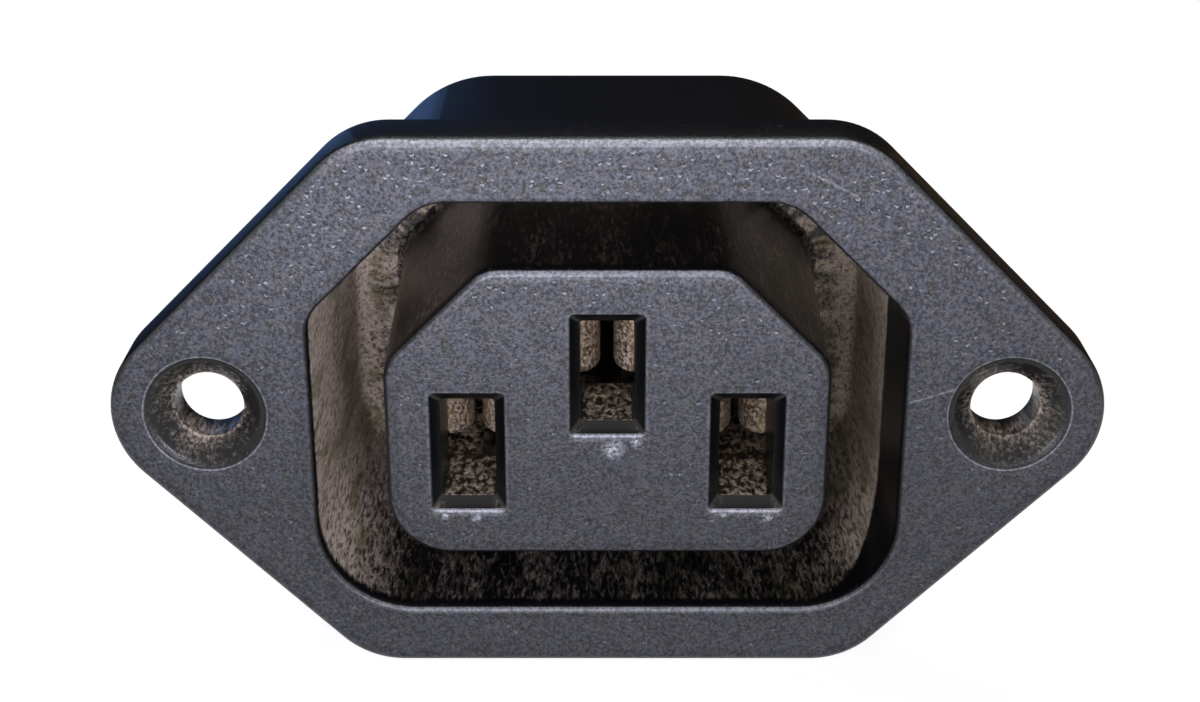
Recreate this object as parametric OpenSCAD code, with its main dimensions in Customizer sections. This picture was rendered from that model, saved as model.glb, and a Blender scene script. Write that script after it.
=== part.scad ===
// Appliance outlet for panel mounting: a moulded housing with a screw flange, three folded
// spring contacts, and a rear cover that closes the contact chambers.
// Millimetres. X to the right, Z up, Y from the front face into the panel.
// The origin lies midway between the two fixing holes, on the flange's back face.

/* [Flange] */
// Distance between the centres of the two fixing holes
hole_spacing = 40; // [39:0.5:44]
// Diameter of each fixing hole
hole_d = 3.5; // [3:0.1:4]
// Diameter of the countersink at the front face
sink_d = 6; // [5:0.1:7]
// Depth of the countersink's cone
sink_depth = 1.25; // [0.8:0.05:2]
// Height of the flange
flange_h = 28.5; // [27.5:0.1:32]
// Thickness of the flange
flange_t = 3.3; // [2.5:0.1:5]
// Radius of the ear round each fixing hole
ear_r = 4.75; // [4.2:0.05:6]
// Radius of the four corners between the straight edges and the slanting ones
flange_corner_r = 4.5; // [2:0.1:6]
// Rounding of the flange's front edge
flange_edge = 0.4; // [0.1:0.05:0.8]

/* [Channel round the core] */
// Width of the channel's outer wall at the front face
cavity_w = 29.5; // [28.5:0.1:30.5]
// Height of the channel's outer wall at the front face
cavity_h = 22; // [21.5:0.1:23]
// Size of the 45 degree cut at each top corner of the outer wall
cavity_cut = 5.9; // [5:0.1:7]
// Radius where the outer wall's top meets a cut corner
cavity_top_r = 2.8; // [1:0.1:4]
// Radius where the outer wall's side meets a cut corner
cavity_side_r = 2.2; // [1:0.1:4]
// Radius of the outer wall's bottom corners
cavity_low_r = 4.9; // [2:0.1:6]
// Depth of the channel behind the front face
channel_depth = 17; // [15:0.5:20]
// Draft angle of the channel's walls and of the shroud's outside, in degrees
draft = 1.4; // [0.5:0.1:2]
// Rounding of the rim at the front face
rim_edge = 0.3; // [0.1:0.05:0.5]
// Thickness of the shroud's side walls where they meet the channel floor
wall = 1.35; // [1:0.05:1.8]
// Thickness of the shroud's top and bottom walls where they meet the channel floor
top_wall = 1.7; // [1:0.05:2]
// Size of the 45 degree cut at each top corner of the shroud's outside
shroud_cut = 6.8; // [6:0.1:7.5]
// Radius where the shroud's top runs into a cut corner
shroud_top_r = 6.2; // [3:0.1:7]
// Thickness of the channel floor
floor_t = 2; // [1.8:0.1:3]
// Radius where the channel's walls meet its floor
floor_fillet = 0.5; // [0.2:0.1:1]
// Rounding of the shroud's rear edge
shroud_edge = 0.6; // [0.2:0.1:1]

/* [Core] */
// Width of the core at the front face
core_w = 22.2; // [21.6:0.1:23]
// Height of the core at the front face
core_h = 15.5; // [15:0.1:16]
// Height of the core's centre
core_z = -0.1; // [-0.3:0.05:0.3]
// Size of the 45 degree cut at each top corner of the core
core_cut = 5; // [3:0.1:5.5]
// Radius of the corners on each side of a cut
core_cut_r = 2; // [1:0.1:2.5]
// Radius of the core's bottom corners
core_low_r = 3.2; // [2:0.1:4]
// Rounding of the core's front edge
core_edge = 0.35; // [0.1:0.05:0.6]

/* [Slots and contact chambers] */
// Distance between the line and neutral slots
pin_pitch = 14; // [13.5:0.1:14.5]
// Height of the earth slot above the other two
earth_rise = 4.2; // [3.8:0.1:4.4]
// Height of the line and neutral slots' centres
row_z = -2.1; // [-2.4:0.05:-1.8]
// Width of each slot
slot_w = 2.75; // [2.5:0.05:3]
// Height of each slot
slot_h = 5.4; // [5:0.1:5.6]
// Width of each slot's bevelled mouth
mouth_w = 3.7; // [3.2:0.1:4.2]
// Height of each slot's bevelled mouth
mouth_h = 6.4; // [6:0.1:6.8]
// Depth of the bevelled mouth
mouth_depth = 0.6; // [0.3:0.1:1]
// Thickness of the core's front wall
front_wall = 5.2; // [4:0.1:6]
// Width of each contact chamber behind the front wall
chamber_w = 5.4; // [5:0.1:5.8]
// Height of each contact chamber behind the front wall
chamber_h = 5.9; // [5.7:0.1:6.2]
// Depth of the pockets in the rear face that hold the contacts' shoulders
pocket_depth = 1.4; // [1:0.1:1.6]

/* [Contacts] */
// Thickness of the spring strip
strip_t = 0.4; // [0.3:0.05:0.5]
// Height of the spring leaves
leaf_h = 5; // [4:0.1:5.2]
// Depth of the line and neutral lips behind the front face
lip_depth = 7.6; // [6.5:0.1:8.5]
// Depth of the earth lips behind the front face
earth_lip_depth = 6.3; // [6.2:0.1:8]
// Gap between the line or neutral leaves where they pinch
pinch_gap = 0.4; // [0.1:0.1:0.8]
// Gap between the earth leaves where they pinch
earth_gap = 0.7; // [0.3:0.1:1]
// Distance from a lip's front edge back to the pinch
lip_length = 1.9; // [1.5:0.1:2.5]
// Distance between the middles of the two lips' front edges
lip_spread = 3.2; // [2.6:0.1:3.8]
// Distance between the middles of the leaves at their widest behind the pinch
belly_spread = 2.4; // [1.6:0.1:3]
// Distance from the pinch back to where the leaves are widest
belly_length = 3.8; // [3:0.1:4.5]
// Height of the shoulders that locate a contact
shoulder_h = 7.2; // [6.8:0.1:7.6]
// Width of the quick-connect tab
tab_w = 6.3; // [4.8:0.1:6.4]
// Length of the tab behind the rear cover
tab_length = 8; // [6:0.1:10]
// Size of the cut at each corner of the tab's tip
tab_cut = 1.2; // [0.5:0.1:1.8]
// Diameter of the latch hole in the tab
latch_hole_d = 1.8; // [1.2:0.1:2.4]
// Distance from the tab's tip to the latch hole's centre
latch_hole_back = 3.6; // [3:0.1:4.5]

/* [Rear cover] */
// Thickness of the rear cover
cover_t = 1.8; // [1.2:0.1:2.5]
// Distance of the cover's edge inside the shroud's outline
cover_inset = 1.6; // [1:0.1:2.5]
// Rounding of the cover's rear edge
cover_edge = 0.4; // [0.1:0.05:0.6]
// Height of the collar round each tab
collar_h = 0.6; // [0.3:0.1:1.5]
// Thickness of each collar's wall
collar_wall = 0.9; // [0.6:0.1:1.2]
// Distance between the two staking posts
post_spacing = 19; // [17:0.5:20]
// Height of the staking posts' centres
post_z = 5.4; // [4.5:0.1:6]
// Diameter of each staking post
post_d = 2.2; // [1.6:0.1:2.6]
// Diameter of each flattened post head
head_d = 3.6; // [3:0.1:4]
// Height of each flattened post head
head_h = 0.8; // [0.5:0.1:1.2]

/* [Clearances] */
// Gap round a contact in its pocket and in the cover's slot
fit_gap = 0.1; // [0.05:0.05:0.3]

/* [Hidden] */
$fn = 48;
STEPS_PER_45 = 5;
EDGE_STEPS = 3;
PATH_STEPS = 8;
OVERCUT = 0.5;
front_y = -flange_t;
floor_y = front_y + channel_depth;
rear_y = floor_y + floor_t;
cover_y = rear_y + cover_t;
tab_end_y = cover_y + tab_length;
pocket_y = rear_y - pocket_depth;
floor_draft = channel_depth * tan(draft);
shroud_draft = rear_y * tan(draft);
tab_t = 2 * strip_t;
slot_places = [[-pin_pitch / 2, row_z], [pin_pitch / 2, row_z], [0, row_z + earth_rise]];
// Each keyed outline: width, height, corner cut, radius at the top, at the side, at the bottom, and
// the height of its centre
cavity = [cavity_w, cavity_h, cavity_cut, cavity_top_r, cavity_side_r, cavity_low_r, 0];
core = [core_w, core_h, core_cut, core_cut_r, core_cut_r, core_low_r, core_z];
side_grow = wall - floor_draft;
shroud = [cavity_w + 2 * side_grow, cavity_h + 2 * (top_wall - floor_draft), shroud_cut, shroud_top_r,
          cavity_side_r + side_grow, cavity_low_r + side_grow, 0];

// Arc of radius r that rounds the corner p between its neighbours a and b, anticlockwise
function corner(a, p, b, r) =
    let (u = (a - p) / norm(a - p), v = (b - p) / norm(b - p),
         half = acos(u * v) / 2, turn = 180 - 2 * half,
         centre = p + (u + v) / norm(u + v) * r / sin(half),
         first = p + u * r / tan(half) - centre,
         start = atan2(first.y, first.x),
         steps = round(STEPS_PER_45 * turn / 45))
    [for (i = [0:steps]) let (t = start + turn * i / steps) centre + r * [cos(t), sin(t)]];

// Convex outline, anticlockwise, with every corner rounded to its own radius
function rounded(pts, radii) =
    let (n = len(pts))
    [for (i = [0:n - 1]) each corner(pts[(i + n - 1) % n], pts[i], pts[(i + 1) % n], radii[i])];

// Rectangle with its two top corners cut at 45 degrees, grown outwards by g on every side
function keyed(k, g) =
    let (x = k[0] / 2 + g, z = k[1] / 2 + g, cut = k[2] + (2 - sqrt(2)) * g,
         top_r = k[3] + g, side_r = k[4] + g, low_r = k[5] + g, top = k[6] + z, low = k[6] - z)
    rounded([[x, low], [x, top - cut], [x - cut, top], [cut - x, top], [-x, top - cut], [-x, low]],
            [low_r, side_r, top_r, top_r, side_r, low_r]);

// Flange outline: straight top and bottom, and 45 degree edges that run onto the round ears.
// It turns through the same angles as a keyed outline, so the two have matching points.
function flange_outline(g) =
    let (r = ear_r + g, z = flange_h / 2 + g, tip = hole_spacing / 2 + r * sqrt(2), x = tip - z,
         c = flange_corner_r + g)
    rounded([[x, -z], [tip, 0], [x, z], [-x, z], [-tip, 0], [-x, -z]], [c, r, c, c, r, c]);

// An outline stood up at one distance along Y
function ring(outline, y) = [for (p = outline) [p.x, y, p.y]];

// A quarter round of radius e, as pairs of [inset, depth] from the face to the wall
function quarter(e) =
    [for (i = [0:EDGE_STEPS]) let (t = 90 * i / EDGE_STEPS) [e * (1 - sin(t)), e * (1 - cos(t))]];

function reversed(list) = [for (i = [len(list) - 1:-1:0]) list[i]];

// Solid carried through rings that all have the same number of points
module skin(rings) {
    n = len(rings[0]);
    m = len(rings);
    sides = [for (j = [0:m - 2], i = [0:n - 1])
        let (a = j * n + i, b = j * n + (i + 1) % n)
        each [[a, b + n, b], [a, a + n, b + n]]];
    first_cap = [for (i = [0:n - 1]) i];
    last_cap = [for (i = [n - 1:-1:0]) (m - 1) * n + i];
    polyhedron([for (r = rings) each r], concat(sides, [first_cap, last_cap]));
}

// Block centred on x and z, from y0 to y1
module block(place, w, h, y0, y1) {
    translate([place.x - w / 2, y0, place.y - h / 2]) cube([w, y1 - y0, h]);
}

// Cylinder or cone along Y, from y0 to y1
module rod(place, y0, y1, r0, r1) {
    translate([place.x, y0, place.y]) rotate([-90, 0, 0]) cylinder(h = y1 - y0, r1 = r0, r2 = r1);
}

// Rings of the fillet at a wall's foot, from the wall to the floor, or from the floor to the wall.
// Way is -1 where the wall closes in towards the floor and 1 where it widens.
function foot(shape, way) =
    [for (q = quarter(floor_fillet)) ring(keyed(shape, way * (floor_draft + q[1])), floor_y - q[0])];

// The moulding in one closed skin: from the rear face over the shroud, round the flange, down the
// channel's outer wall, across its floor and up the core to the core's front face
module shell() {
    skin(concat(
        [for (q = quarter(shroud_edge)) ring(keyed(shroud, -q[0]), rear_y - q[1])],
        [ring(keyed(shroud, shroud_draft), 0), ring(flange_outline(0), 0)],
        [for (q = reversed(quarter(flange_edge))) ring(flange_outline(-q[0]), front_y + q[1])],
        [for (q = quarter(rim_edge)) ring(keyed(cavity, q[0]), front_y + q[1])],
        foot(cavity, -1), reversed(foot(core, 1)),
        [for (q = reversed(quarter(core_edge))) ring(keyed(core, -q[0]), front_y + q[1])]));
}

// Rectangle on the X-Z plane, as a ring at distance y
function frame(place, w, h, y) =
    [for (s = [[-1, -1], [1, -1], [1, 1], [-1, 1]]) [place.x + s.x * w / 2, y, place.y + s.y * h / 2]];

// Bevelled mouth, slot, contact chamber and shoulder pocket of one contact
module contact_way(place) {
    bevel_w = (mouth_w - slot_w) / mouth_depth;
    bevel_h = (mouth_h - slot_h) / mouth_depth;
    skin([frame(place, slot_w, slot_h, front_y + mouth_depth),
          frame(place, mouth_w + bevel_w * OVERCUT, mouth_h + bevel_h * OVERCUT, front_y - OVERCUT)]);
    block(place, slot_w, slot_h, front_y, front_y + front_wall + OVERCUT);
    block(place, chamber_w, chamber_h, front_y + front_wall, rear_y + OVERCUT);
    block(place, tab_t + 2 * fit_gap, shoulder_h + 2 * fit_gap, pocket_y, rear_y + OVERCUT);
}

// Through hole with its countersink at the front face
module fixing_hole(x) {
    slope = (sink_d - hole_d) / 2 / sink_depth;
    rod([x, 0], front_y - OVERCUT, OVERCUT, hole_d / 2, hole_d / 2);
    rod([x, 0], front_y - OVERCUT, front_y + sink_depth, sink_d / 2 + slope * OVERCUT, hole_d / 2);
}

// Post on the rear face, with its end flattened over the rear cover
module staking_post(x) {
    rod([x, post_z], rear_y - floor_t / 2, cover_y, post_d / 2, post_d / 2);
    // The flattened head is a cap cut from a ball
    ball_r = (pow(head_d / 2, 2) + pow(head_h, 2)) / (2 * head_h);
    intersection() {
        translate([x, cover_y + head_h - ball_r, post_z]) sphere(r = ball_r);
        rod([x, post_z], cover_y, cover_y + head_h + OVERCUT, head_d / 2, head_d / 2);
    }
}

module housing() {
    color("#3b3e45") {
        difference() {
            shell();
            for (place = slot_places) contact_way(place);
            for (side = [-1, 1]) fixing_hole(side * hole_spacing / 2);
        }
        for (side = [-1, 1]) staking_post(side * post_spacing / 2);
    }
}

// Plate that closes the chambers, with a collar round each tab, held by the staked posts
module rear_cover() {
    rear = [for (q = quarter(cover_edge)) ring(keyed(shroud, -cover_inset - q[0]), cover_y - q[1])];
    color("#2e3035")
    difference() {
        union() {
            skin(concat(rear, [ring(keyed(shroud, -cover_inset), rear_y)]));
            for (place = slot_places)
                block(place, tab_t + 2 * (fit_gap + collar_wall), tab_w + 2 * (fit_gap + collar_wall),
                      cover_y - cover_t / 2, cover_y + collar_h);
        }
        for (place = slot_places)
            block(place, tab_t + 2 * fit_gap, tab_w + 2 * fit_gap,
                  rear_y - OVERCUT, cover_y + collar_h + OVERCUT);
        for (side = [-1, 1])
            rod([side * post_spacing / 2, post_z], rear_y - OVERCUT, cover_y + OVERCUT,
                post_d / 2 + fit_gap, post_d / 2 + fit_gap);
    }
}

// Smooth run from [x0, y0] to [x1, y1] that starts and ends parallel to Y
function ease(x0, y0, x1, y1) =
    [for (i = [1:PATH_STEPS]) let (u = i / PATH_STEPS)
        [x0 + (x1 - x0) * (1 - cos(180 * u)) / 2, y0 + (y1 - y0) * u]];

// Middle line of one leaf, from the lip, which is flared square to the slot, round a quarter of
// an ellipse to the pinch, over the belly and into the tab
function leaf_path(lip_y, gap) =
    let (lip_x = lip_spread / 2, pinch_x = gap / 2 + strip_t / 2, pinch_y = lip_y + lip_length,
         belly_y = pinch_y + belly_length)
    concat([for (i = [0:PATH_STEPS]) let (u = i / PATH_STEPS)
               [lip_x + (pinch_x - lip_x) * sin(90 * u), lip_y + lip_length * (1 - cos(90 * u))]],
           ease(pinch_x, pinch_y, belly_spread / 2, belly_y),
           ease(belly_spread / 2, belly_y, strip_t / 2, pocket_y));

// A path moved sideways by d, to its right when d is positive
function beside(path, d) =
    let (n = len(path))
    [for (i = [0:n - 1]) let (run = path[min(i + 1, n - 1)] - path[max(i - 1, 0)])
        path[i] + [run.y, -run.x] / norm(run) * d];

function mirrored(path) = [for (p = path) [-p.x, p.y]];

// The whole contact seen from above: two leaves that meet at the pocket, and the doubled tab
function contact_plan(lip_y, gap) =
    let (path = leaf_path(lip_y, gap), n = len(path),
         outer = beside(path, strip_t / 2), inner = beside(path, -strip_t / 2),
         bevel_y = tab_end_y - tab_t, bevel_x = tab_t / 4)
    concat(outer, [[tab_t / 2, bevel_y], [bevel_x, tab_end_y]],
           [[-bevel_x, tab_end_y], [-tab_t / 2, bevel_y]], mirrored(reversed(outer)),
           mirrored([for (i = [0:n - 2]) inner[i]]), reversed(inner));

// The contact seen from the side: leaves, shoulders, and the tab with its cut tip
module contact_side(lip_y) {
    translate([lip_y - strip_t, -leaf_h / 2]) square([pocket_y - lip_y + strip_t + OVERCUT, leaf_h]);
    translate([pocket_y, -shoulder_h / 2]) square([pocket_depth, shoulder_h]);
    polygon([[pocket_y, -tab_w / 2], [tab_end_y - tab_cut, -tab_w / 2],
             [tab_end_y, -tab_w / 2 + tab_cut], [tab_end_y, tab_w / 2 - tab_cut],
             [tab_end_y - tab_cut, tab_w / 2], [pocket_y, tab_w / 2]]);
}

// What the fold takes off the tab's lower edge: the corners outside a half round as wide as the tab
module fold_waste() {
    middle = -tab_w / 2 + tab_t / 2;
    arc = [for (i = [0:2 * PATH_STEPS]) let (t = -90 * i / PATH_STEPS)
        [tab_t / 2 * cos(t), middle + tab_t / 2 * sin(t)]];
    translate([0, tab_end_y + OVERCUT, 0]) rotate([90, 0, 0]) linear_extrude(tab_end_y - rear_y + OVERCUT)
        polygon(concat([[tab_t, middle]], arc,
                       [[-tab_t, middle], [-tab_t, middle - tab_t], [tab_t, middle - tab_t]]));
}

// Folded contact: the strip's plan trimmed to its side outline, with the latch hole through the tab
module contact(place, lip_y, gap) {
    translate([place.x, 0, place.y])
    difference() {
        intersection() {
            translate([0, 0, -shoulder_h]) linear_extrude(2 * shoulder_h) polygon(contact_plan(lip_y, gap));
            rotate([90, 0, 90]) linear_extrude(2 * chamber_w, center = true) contact_side(lip_y);
        }
        translate([-tab_t, tab_end_y - latch_hole_back, 0]) rotate([0, 90, 0])
            cylinder(h = 2 * tab_t, d = latch_hole_d);
        fold_waste();
    }
}

module line_contact() {
    color("#b59d63") contact(slot_places[0], front_y + lip_depth, pinch_gap);
}

module neutral_contact() {
    color("#b59d63") contact(slot_places[1], front_y + lip_depth, pinch_gap);
}

module earth_contact() {
    color("#b8a067") contact(slot_places[2], front_y + earth_lip_depth, earth_gap);
}

housing();
rear_cover();
line_contact();
neutral_contact();
earth_contact();
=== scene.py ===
# %% [markdown]
# # A panel-mount appliance outlet, finished in Blender
# The object is the socket that a power strip, a monitor or an instrument carries for a mains lead: a
# black moulded housing with a screw flange, three brass spring contacts inside its core, and a plate
# that closes the back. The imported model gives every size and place, and this lesson gives the looks.

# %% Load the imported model
import math
import bmesh
import bpy
import numpy as np
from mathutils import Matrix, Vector
from mathutils.geometry import delaunay_2d_cdt


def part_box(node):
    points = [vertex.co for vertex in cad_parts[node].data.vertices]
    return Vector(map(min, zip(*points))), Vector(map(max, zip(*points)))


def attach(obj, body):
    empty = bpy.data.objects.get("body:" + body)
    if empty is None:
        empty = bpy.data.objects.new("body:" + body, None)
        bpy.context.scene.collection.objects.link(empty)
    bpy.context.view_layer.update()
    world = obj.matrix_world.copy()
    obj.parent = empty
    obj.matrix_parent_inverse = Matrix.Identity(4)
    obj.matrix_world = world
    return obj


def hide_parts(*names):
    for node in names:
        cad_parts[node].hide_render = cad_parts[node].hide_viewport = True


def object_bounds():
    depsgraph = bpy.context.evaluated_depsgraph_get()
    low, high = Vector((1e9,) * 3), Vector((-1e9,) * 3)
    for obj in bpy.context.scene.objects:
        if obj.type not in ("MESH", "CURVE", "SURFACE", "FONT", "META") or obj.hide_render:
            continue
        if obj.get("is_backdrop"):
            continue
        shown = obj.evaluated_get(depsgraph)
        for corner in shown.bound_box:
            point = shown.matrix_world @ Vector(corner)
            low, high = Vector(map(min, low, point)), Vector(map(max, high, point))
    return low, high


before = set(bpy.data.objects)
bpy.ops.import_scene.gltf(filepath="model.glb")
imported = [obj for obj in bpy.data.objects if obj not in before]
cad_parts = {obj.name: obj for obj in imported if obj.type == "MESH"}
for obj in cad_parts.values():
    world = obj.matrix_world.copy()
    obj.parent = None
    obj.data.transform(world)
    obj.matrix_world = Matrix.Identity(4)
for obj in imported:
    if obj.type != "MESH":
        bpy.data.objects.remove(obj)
cad_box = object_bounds()
MM = 0.001
print("nodes:", sorted(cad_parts))
print("box in mm:", [round(v / MM, 2) for corner in cad_box for v in corner])

# %% [markdown]
# ## The camera
# A small part fills the picture only when the camera comes close, and a close camera makes the
# near edge of the flange plainly larger than the far end of the shroud. So the distance matters as
# much as the direction: a long lens from far away would frame it the same and look flat.
# The camera is put on a line that rises from the flange's face, and aimed with one rotation.

# %% Camera
front_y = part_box("housing")[0][1] / MM
CAMERA_RISE = math.radians(23.01)
CAMERA_DISTANCE = 97.85
CAMERA_LENS, SENSOR_WIDTH, NEAREST_SEEN = 59.9, 36, 5  # mm
CAMERA_TARGET = np.array([-0.37, front_y, 3.43])
backwards = np.array([0, -math.cos(CAMERA_RISE), math.sin(CAMERA_RISE)])
camera_data = bpy.data.cameras.new("product_camera")
camera_data.sensor_width = SENSOR_WIDTH
camera_data.lens = CAMERA_LENS
camera_data.clip_start = NEAREST_SEEN * MM
camera = bpy.data.objects.new("product_camera", camera_data)
camera.location = (CAMERA_TARGET + backwards * CAMERA_DISTANCE) * MM
camera.rotation_euler = (math.pi / 2 - CAMERA_RISE, 0, 0)
bpy.context.scene.collection.objects.link(camera)
bpy.context.scene.camera = camera
print("camera at", [round(v, 1) for v in CAMERA_TARGET + backwards * CAMERA_DISTANCE], "mm")

# %% [markdown]
# ## Outlines
# Nearly every form on this part is an outline carried along the depth: the flange, the shroud, the
# channel, the core, the slots and the screw holes. Blender's Bevel modifier could round them, but the
# roundings differ from edge to edge and run into drafted walls. So each outline is worked out with
# the direction that points straight out of it at every point. Moved along those directions it grows
# or shrinks by an exact distance, and that is all that a rounding or a draft needs.

# %% Outlines with their normals
ARC_STEP = 4  # degrees between two points on a corner
RUN_STEP = 0.4  # mm between two points on a straight run


def outline(corners, radii, run_step=RUN_STEP):
    """Closed anticlockwise outline. Each corner becomes an arc whose centre lies on the bisector,
    radius / sin(half angle) from the corner, and the runs between arcs are cut in equal steps.
    Gives the points, the unit normals that point out of the outline, and how far into a straight
    run each point is, as 4t(1 - t), which is zero on the arcs and one midway between them."""
    corners = np.asarray(corners, float)
    arcs = []
    for before, corner, after, r in zip(np.roll(corners, 1, 0), corners, np.roll(corners, -1, 0), radii):
        u = (before - corner) / np.linalg.norm(before - corner)
        v = (after - corner) / np.linalg.norm(after - corner)
        half = math.acos(np.clip(u @ v, -1, 1)) / 2
        turn = math.pi - 2 * half
        hollow = -1 if u[0] * v[1] - u[1] * v[0] > 0 else 1
        centre = corner + (u + v) / np.linalg.norm(u + v) * r / math.sin(half)
        first = corner + u * r / math.tan(half) - centre
        steps = max(3, round(math.degrees(turn) / ARC_STEP))
        angle = math.atan2(first[1], first[0]) + hollow * np.linspace(0, turn, steps + 1)
        way = np.stack([np.cos(angle), np.sin(angle)], 1)
        arcs.append((centre + r * way, hollow * way))
    points, normals, runs = [], [], []
    for (arc, way), (following, _) in zip(arcs, arcs[1:] + arcs[:1]):
        run = following[0] - arc[-1]
        t = np.linspace(0, 1, max(1, round(np.linalg.norm(run) / run_step)), endpoint=False)[1:, None]
        points += [arc, arc[-1] + run * t]
        normals += [way, np.repeat(way[-1:], len(t), 0)]
        runs += [np.zeros(len(arc)), 4 * t[:, 0] * (1 - t[:, 0])]
    return np.concatenate(points), np.concatenate(normals), np.concatenate(runs)


def keyed(width, height, cut, top_r, side_r, low_r, centre_z=0):
    """Rectangle with its two top corners cut at 45 degrees, centred on X = 0."""
    x, low, top = width / 2, centre_z - height / 2, centre_z + height / 2
    corners = [[x, low], [x, top - cut], [x - cut, top], [cut - x, top], [-x, top - cut], [-x, low]]
    return outline(corners, [low_r, side_r, top_r, top_r, side_r, low_r])


def rectangle(place, width, height, r, run_step=RUN_STEP):
    """Rectangle with small round corners, centred on a place."""
    x, z = width / 2, height / 2
    points, *rest = outline([[x, -z], [x, z], [-x, z], [-x, -z]], [r] * 4, run_step)
    return points + place, *rest


def circle(place, radius, count=72):
    """Circle round a place: centre + radius x (cos, sin)."""
    angle = np.linspace(0, 2 * math.pi, count, endpoint=False)
    way = np.stack([np.cos(angle), np.sin(angle)], 1)
    return np.asarray(place) + radius * way, way, np.zeros(count)


print("a point every", ARC_STEP, "degrees on corners and", RUN_STEP, "mm on runs")

# %% [markdown]
# ## Walls and flats
# A wall or a rounding is a list of rings, each an outline with its offset and its depth. A flat face
# is what lies inside one outline and outside others, cut into triangles.
# Each ring also carries four paint values that the materials read later: how worn the edge is, which
# on upward-facing edges is also a painted highlight, how much dust lies there, how much grit has packed
# in, and how smooth the grain has been rubbed. Painted on the points, such marks stay on the right wall
# at every depth, as no pattern in space would.

# %% Walls, flats and joined pieces
BOW = 0.004  # mm that a straight run is bowed while its triangles are chosen
MERGE = 0.0005  # mm within which points are the same point


def carry(rings):
    """Wall through rings of (shape, offset, depth, worn_and_lit, dusty, gritty, smooth), the fourth being
    wear with a painted highlight: ring k is its shape's points + offset x normals, at its depth along Y.
    A paint value is one number or one per point, and zero if left out. Four-sided faces join each ring
    to the next."""
    rows = [(*ring, 0, 0, 0, 0)[:7] for ring in rings]
    places = np.array([[*(shape[0] + offset * shape[1]).T] for shape, offset, *_ in rows])
    depth = np.broadcast_to(np.array([row[2] for row in rows], float)[:, None], places[:, 0].shape)
    points = np.stack([places[:, 0], depth, places[:, 1]], -1)
    k, n = points.shape[:2]
    paint = np.array([[np.broadcast_to(value, n) for value in row[3:]] for row in rows]).transpose(0, 2, 1)
    low, side = np.meshgrid(np.arange(k - 1) * n, np.arange(n), indexing="ij")
    a, b = (low + side).ravel(), (low + (side + 1) % n).ravel()
    return points.reshape(-1, 3), np.stack([a, b, b + n, a + n], 1), paint.reshape(-1, 4), True


def inside(places, loop):
    """True for each place whose ray to the right crosses the loop an odd number of times."""
    x, z = places[:, :1], places[:, 1:]
    (x0, z0), (x1, z1) = loop.T, np.roll(loop, -1, 0).T
    rise = np.where(z1 == z0, 1, z1 - z0)
    return (((z0 > z) != (z1 > z)) & (x < x0 + (z - z0) * (x1 - x0) / rise)).sum(1) % 2 == 1


def flat(outer, holes, depth, paint=(0, 0, 0, 0), grid=None):
    """Flat face at one depth between an outer outline and its holes, each given as (shape, offset).
    While the triangles are chosen, straight runs are bowed a hair into the face, so that no triangle
    of zero width forms along them. A grid size adds points inside, for a face that is bent later."""
    pairs = [outer, *holes]
    loops = [shape[0] + shape[1] * (offset + (BOW if i else -BOW) * shape[2][:, None])
             for i, (shape, offset) in enumerate(pairs)]
    places = np.concatenate([shape[0] + offset * shape[1] for shape, offset in pairs])
    bowed = np.concatenate(loops)
    sizes = [len(loop) for loop in loops]
    starts = np.cumsum([0, *sizes])
    following = np.concatenate([np.roll(np.arange(n), -1) + start for n, start in zip(sizes, starts)])

    def filled(spots):
        """True for the places inside the outer loop and outside every hole."""
        held = inside(spots, loops[0])
        for loop in loops[1:]:
            held &= ~inside(spots, loop)
        return held

    if grid:
        axes = [np.arange(a + grid / 2, b, grid) for a, b in zip(loops[0].min(0), loops[0].max(0))]
        spots = np.stack(np.meshgrid(*axes), -1).reshape(-1, 2)
        gap = np.linalg.norm(spots[:, None] - bowed[None], axis=-1).min(1)
        spots = spots[filled(spots) & (gap > grid / 2)]
        places = np.concatenate([places, spots])
        bowed = np.concatenate([bowed, spots])
    edges = np.stack([np.arange(len(following)), following], 1).tolist()
    _, _, faces, sources, *_ = delaunay_2d_cdt([Vector(p) for p in bowed], edges, [], 0, 1e-7)
    faces = np.array([source[0] for source in sources])[np.array(faces)]
    faces = faces[filled(bowed[faces].mean(1))]
    points = np.insert(places, 1, depth, axis=1)
    return points, faces, np.tile(np.array(paint, float), (len(points), 1)), bool(grid)


def quarter(e, steps=6):
    """Quarter round of radius e from a face to the wall behind it: pairs of
    inset e x (1 - sin t) and depth e x (1 - cos t)."""
    t = np.linspace(0, math.pi / 2, steps + 1)
    return np.stack([e * (1 - np.sin(t)), e * (1 - np.cos(t))], 1)


def join(name, patches, shade_angle=35):
    """One closed object from patches of (points, faces, paint, shades smooth) in mm. Points that
    coincide merge, faces are turned to point outwards, and sharp corners keep their edge."""
    starts = np.cumsum([0] + [len(patch[0]) for patch in patches])
    points, paint = (np.concatenate([patch[i] for patch in patches]) for i in (0, 2))
    faces = [face for patch, start in zip(patches, starts) for face in (patch[1] + start).tolist()]
    smooth = np.concatenate([np.full(len(patch[1]), patch[3]) for patch in patches])
    mesh = bpy.data.meshes.new(name)
    mesh.from_pydata(points * MM, [], faces)
    mesh.polygons.foreach_set("use_smooth", smooth)
    mesh.attributes.new("paint", "FLOAT_COLOR", "POINT").data.foreach_set("color", paint.ravel())
    work = bmesh.new()
    work.from_mesh(mesh)
    bmesh.ops.remove_doubles(work, verts=work.verts, dist=MERGE * MM)
    bmesh.ops.recalc_face_normals(work, faces=work.faces)
    open_edges = sum(not edge.is_manifold for edge in work.edges)
    work.to_mesh(mesh)
    work.free()
    mesh.set_sharp_from_angle(angle=math.radians(shade_angle))
    piece = bpy.data.objects.new(name, mesh)
    bpy.context.scene.collection.objects.link(piece)
    print(name, "points", len(mesh.vertices), "faces", len(mesh.polygons), "open edges", open_edges)
    return piece


print("a rounding has", len(quarter(1)), "rings")

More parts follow.
